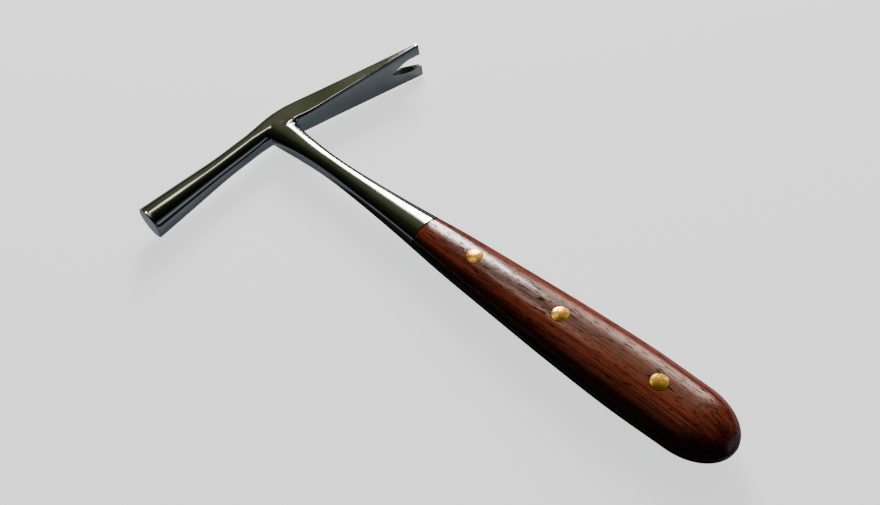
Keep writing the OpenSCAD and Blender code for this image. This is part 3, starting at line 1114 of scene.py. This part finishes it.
pore_depth = node(tree, "ShaderNodeMapRange", inputs={
    "Value": pores.outputs[0], "From Min": 0.62, "From Max": 0.69, "To Min": 0.0, "To Max": 1.0})
print("nodes for bands, lines and pores:", len(tree.nodes))

# %% Colour and gloss of the rosewood
wood_tone = node(tree, "ShaderNodeValToRGB", inputs={0: bands.outputs[0]}, stops=[
    (0.28, "#4c1f15"), (0.4, "#6c2d1d"), (0.54, "#883d29"), (0.7, "#975039")])
line_tone = node(tree, "ShaderNodeValToRGB", inputs={0: lines.outputs[0]}, stops=[
    (0.36, "#ffffff"), (0.42, "#5a3a32"), (0.45, "#e6dcd8"),
    (0.5, "#f4eeec"), (0.53, "#4a2c26"), (0.58, "#ffffff")])
lined = node(tree, "ShaderNodeMixRGB", settings={"blend_type": "MULTIPLY"}, inputs={
    0: 0.85, 1: wood_tone.outputs[0], 2: line_tone.outputs[0]})
with_pores = node(tree, "ShaderNodeMixRGB", settings={"blend_type": "MIX"}, inputs={
    0: pore_depth.outputs[0], 1: lined.outputs[0], 2: colour("#120705")})
rough_wood = node(tree, "ShaderNodeMapRange", inputs={
    "Value": bands.outputs[0], "From Min": 0.3, "From Max": 0.7, "To Min": 0.2, "To Max": 0.15})
gloss = node(tree, "ShaderNodeMapRange", inputs={
    "Value": pores.outputs[0], "From Min": 0.54, "From Max": 0.63, "To Min": 1.0, "To Max": 0.05})
pore_bump = node(tree, "ShaderNodeBump", settings={"invert": True}, inputs={
    "Height": pore_depth.outputs[0], "Strength": 0.1, "Distance": 0.0001})
shader = node(tree, "ShaderNodeBsdfPrincipled", inputs={
    "Base Color": with_pores.outputs[0], "Roughness": rough_wood.outputs[0], "IOR": 1.5,
    "Specular IOR Level": gloss.outputs[0], "Specular Tint": colour("#fff0e6"),
    "Normal": pore_bump.outputs[0]})
node(tree, "ShaderNodeOutputMaterial", inputs={"Surface": shader.outputs[0]})
print(rosewood.name, len(tree.nodes), "nodes")

# %% [markdown]
# Satin brass. The rivet heads were set and then rubbed with fine abrasive,
# so the metal is warm yellow with a soft spread highlight and a little
# brown where oil and polish have dulled it. Gold paint would be one flat
# tone, so noise varies both the colour and the roughness.

# %% Brass
# Dull spots are a couple of millimetres wide. Real rubbing marks are near
# 0.02 mm, too fine to show, so they are drawn 0.2 mm apart.
DULL_SPOT = 2
RUB_LONG = 1.43
RUB_APART = 0.2
brass, tree = new_material("satin brass")
place = node(tree, "ShaderNodeTexCoord").outputs["Object"]
dull = node(tree, "ShaderNodeTexNoise", inputs={
    "Vector": place, "Scale": per_cell(DULL_SPOT), "Detail": 4.0})
scratch_map = node(tree, "ShaderNodeMapping", inputs={
    "Vector": place, "Rotation": (0.0, 0.0, 0.4), "Scale": per_cell(RUB_LONG, RUB_APART, RUB_LONG)})
scratch = node(tree, "ShaderNodeTexNoise", inputs={
    "Vector": scratch_map.outputs[0], "Scale": 1.0, "Detail": 2.0})
tone = node(tree, "ShaderNodeValToRGB", inputs={0: dull.outputs[0]}, stops=[
    (0.35, "#a87a30"), (0.6, "#dba94c")])
rough_brass = node(tree, "ShaderNodeMapRange", inputs={
    "Value": dull.outputs[0], "From Min": 0.3, "From Max": 0.7, "To Min": 0.24, "To Max": 0.15})
bump = node(tree, "ShaderNodeBump", inputs={
    "Height": scratch.outputs[0], "Strength": 0.12, "Distance": 0.0001})
shader = node(tree, "ShaderNodeBsdfPrincipled", inputs={
    "Base Color": tone.outputs[0], "Metallic": 1.0,
    "Roughness": rough_brass.outputs[0], "Normal": bump.outputs[0]})
node(tree, "ShaderNodeOutputMaterial", inputs={"Surface": shader.outputs[0]})
print(brass.name, len(tree.nodes), "nodes")

# %% [markdown]
# Every piece takes one of the three materials. The pieces' names say what
# each is made of, so a word of the name picks the finish and no list has to
# be kept.

# %% Give each piece its material
FINISHES = (
    ("forged_hammer", steel, "polished_steel"),
    ("rosewood_scale", rosewood, "rosewood"),
    ("brass_rivet", brass, "brass"),
)
for piece in [o for o in bpy.context.scene.objects if o.type == "MESH"]:
    for word, finish, slot in FINISHES:
        if word in piece.name:
            piece.data.materials.clear()
            piece.data.materials.append(finish)
            print(piece.name, "is", finish.name)

# %% [markdown]
# The hammer lies on a plain pale floor. Polished steel shows whatever is
# round it, so what the metal sees matters as much as the light. The eye
# sees the floor as pale paper with a little glow that softens the shadow.
# Bounced light sees it nearly black, because a pale floor would wash out
# the dark lower sides. Real studios do this with black cards. The Light
# Path node does it here, since it tells the rays apart.

# %% Floor
FLOOR = 1.6
floor_mesh = bpy.data.meshes.new("pale_floor")
floor_mesh.from_pydata(
    [(-FLOOR, -FLOOR, 0), (FLOOR, -FLOOR, 0), (FLOOR, FLOOR, 0), (-FLOOR, FLOOR, 0)], [], [(0, 1, 2, 3)])
floor = bpy.data.objects.new("pale_floor", floor_mesh)
bpy.context.scene.collection.objects.link(floor)
floor_material, tree = new_material("matt pale paper")
rays = node(tree, "ShaderNodeLightPath").outputs
paper = node(tree, "ShaderNodeBsdfDiffuse", inputs={"Color": colour("#b9b9b8")})
glow = node(tree, "ShaderNodeEmission", inputs={"Color": colour("#f6f7f8"), "Strength": 1.3})
seen = node(tree, "ShaderNodeAddShader", inputs={0: paper.outputs[0], 1: glow.outputs[0]})
bounced = node(tree, "ShaderNodeBsdfDiffuse", inputs={"Color": colour("#34363a")})
print("floor width, metres:", 2 * FLOOR)

# %% [markdown]
# Reflections see three painted tones of floor, set by place and not by the
# lamps. Round the head it is a glowing blue-grey, a painted reflection that
# gives the claw its slate side. Along the handle it is nearly black, a
# painted shadow, so the lower side stays dark. On the claw's side of the
# handle a painted grey glow is added that grows towards the butt.

# %% The floor as the metal sees it
floor_place = node(tree, "ShaderNodeTexCoord").outputs["Object"]
floor_xyz = node(tree, "ShaderNodeSeparateXYZ", inputs={0: floor_place}).outputs
# Painted reflection and painted shadow: reflections see blue-grey round the head and nearly black along the
# handle, chosen by place.
to_handle = node(tree, "ShaderNodeMapRange", inputs={
    "Value": floor_xyz["X"], "From Min": -0.088, "From Max": -0.072})
painted_mirror_tone = node(tree, "ShaderNodeMixRGB", inputs={
    0: to_handle.outputs[0], 1: colour("#666d74"), 2: colour("#1c1e20")})
shade_tone = node(tree, "ShaderNodeBsdfDiffuse", inputs={"Color": painted_mirror_tone.outputs[0]})
glow_tone = node(tree, "ShaderNodeEmission", inputs={"Color": painted_mirror_tone.outputs[0], "Strength": 0.9})
sheen = node(tree, "ShaderNodeAddShader", inputs={0: shade_tone.outputs[0], 1: glow_tone.outputs[0]})
# Painted reflection: a grey glow seen only in reflections, stronger towards the butt on the claw's side.
far_off = node(tree, "ShaderNodeMapRange", inputs={
    "Value": floor_xyz["X"], "From Min": -0.06, "From Max": 0.10, "To Max": 1.7})
claw_side = node(tree, "ShaderNodeMapRange", inputs={
    "Value": floor_xyz["Y"], "From Min": -0.01, "From Max": 0.03})
painted_glow_strength = node(tree, "ShaderNodeMath", settings={"operation": "MULTIPLY"}, inputs={
    0: far_off.outputs[0], 1: claw_side.outputs[0]})
painted_glow = node(tree, "ShaderNodeEmission", inputs={
    "Color": colour("#6e747b"), "Strength": painted_glow_strength.outputs[0]})
mirrored = node(tree, "ShaderNodeAddShader", inputs={0: sheen.outputs[0], 1: painted_glow.outputs[0]})
unseen = node(tree, "ShaderNodeMixShader", inputs={
    0: rays["Is Glossy Ray"], 1: bounced.outputs[0], 2: mirrored.outputs[0]})
mixed = node(tree, "ShaderNodeMixShader", inputs={
    0: rays["Is Camera Ray"], 1: unseen.outputs[0], 2: seen.outputs[0]})
node(tree, "ShaderNodeOutputMaterial", inputs={"Surface": mixed.outputs[0]})
floor_mesh.materials.append(floor_material)
print(floor_material.name, len(tree.nodes), "nodes")

# %% [markdown]
# The room is drawn in the world shader, and mostly the steel sees it: dark
# olive walls towards the claw and black behind the camera, a pale patch
# where a ceiling would catch the window light, a brighter one for a curtain
# beside the window, and a blue-grey one where the floor runs off. Each
# patch is the dot product of the direction with the patch's middle, so its
# edge is as soft as its ramp. An image of a room would do the same, but
# these few tones can be read and changed. The eye itself sees a plain pale
# backdrop.

# %% Soft patches


def direction(azimuth, elevation):
    """A unit vector; azimuth 0 is along +x, 90 along +y."""
    a, e = math.radians(azimuth), math.radians(elevation)
    return Vector((math.cos(a) * math.cos(e), math.sin(a) * math.cos(e), math.sin(e)))


world = bpy.data.worlds.new("dark_room")
bpy.context.scene.world = world
world.use_nodes = True
tree = world.node_tree
tree.nodes.clear()
toward = node(tree, "ShaderNodeTexCoord").outputs["Generated"]


def patch(middle, nearest, stops, strength):
    """A soft patch of light round one direction; nearest is the cosine at its rim."""
    facing = node(tree, "ShaderNodeVectorMath", settings={"operation": "DOT_PRODUCT"}, inputs={
        0: toward, 1: middle})
    share = node(tree, "ShaderNodeMapRange", inputs={
        "Value": facing.outputs["Value"], "From Min": nearest, "From Max": 1.0})
    tones = node(tree, "ShaderNodeValToRGB", inputs={0: share.outputs[0]}, stops=stops)
    return node(tree, "ShaderNodeBackground", inputs={"Color": tones.outputs[0], "Strength": strength})


print("straight up is", [round(v, 2) for v in direction(0, 90)])

# %% Room
walls = patch(direction(140, 40), -1.0, [
    (0.3, "#080806"), (0.66, "#14150f"), (0.88, "#2c2f22"), (0.97, "#585c42"), (1.0, "#6a6e54")], 1.0)
ceiling = patch(direction(108, 50), 0.86, [
    (0.0, "#000000"), (0.3, "#10100b"), (0.6, "#3a3b2e"), (0.85, "#6e6c5c"), (1.0, "#a09c8c")], 2.0)
far_floor = patch(direction(26, 0), 0.9, [(0.0, "#000000"), (0.5, "#34383c"), (1.0, "#6a7076")], 2.6)
curtain = patch(direction(107, 27), 0.93, [
    (0.0, "#000000"), (0.35, "#5a5652"), (0.7, "#c8c0b8"), (1.0, "#fff6ee")], 6.0)
upper_room = node(tree, "ShaderNodeAddShader", inputs={0: ceiling.outputs[0], 1: curtain.outputs[0]})
above_floor = node(tree, "ShaderNodeAddShader", inputs={0: walls.outputs[0], 1: upper_room.outputs[0]})
around = node(tree, "ShaderNodeAddShader", inputs={0: above_floor.outputs[0], 1: far_floor.outputs[0]})
backdrop = node(tree, "ShaderNodeBackground", inputs={"Color": colour("#f6f7f8"), "Strength": 1.4})
to_eye = node(tree, "ShaderNodeLightPath").outputs["Is Camera Ray"]
room = node(tree, "ShaderNodeMixShader", inputs={0: to_eye, 1: around.outputs[0], 2: backdrop.outputs[0]})
node(tree, "ShaderNodeOutputWorld", inputs={"Surface": room.outputs[0]})
print("room:", len(tree.nodes), "nodes")

# %% [markdown]
# One tall window lights the hammer from behind the claw and draws the long
# white line down the shank and the grip. A wider, much dimmer light just
# behind it softens the line's edge, as a thin curtain does. A small warm
# card over the face arm gives that arm its own thin line. A sun lamp would
# leave only hair-thin lines on the steel, so all three are area lights.

# %% Lights


def soft_light(name, toward_light, distance, size, radiance, tone="#ffffff", aim=Vector((0, 0, 0))):
    """A rectangular light that faces one spot; radiance is its brightness, whatever its size."""
    data = bpy.data.lights.new(name, "AREA")
    data.shape = "RECTANGLE"
    data.size, data.size_y = size
    data.energy = radiance * math.pi * size[0] * size[1]
    data.color = colour(tone)[:3]
    light = bpy.data.objects.new(name, data)
    bpy.context.scene.collection.objects.link(light)
    light.location = aim + toward_light * distance
    light.rotation_euler = (-toward_light).to_track_quat("-Z", "Y").to_euler()
    light.visible_camera = False
    return light


to_window = direction(136.5, 29.5)
face_arm = Vector(to_metres([0, -60, 6]))
lights = (
    soft_light("window", to_window, 1.2, (0.32, 0.56), 30),
    soft_light("window_edge", to_window, 1.22, (0.42, 0.66), 3),
    soft_light("ceiling_card", direction(127, 66), 0.6, (0.16, 0.09), 2.6, "#fff4e4", face_arm),
)
for light in lights:
    print(light.name, "watts:", round(light.data.energy, 3))
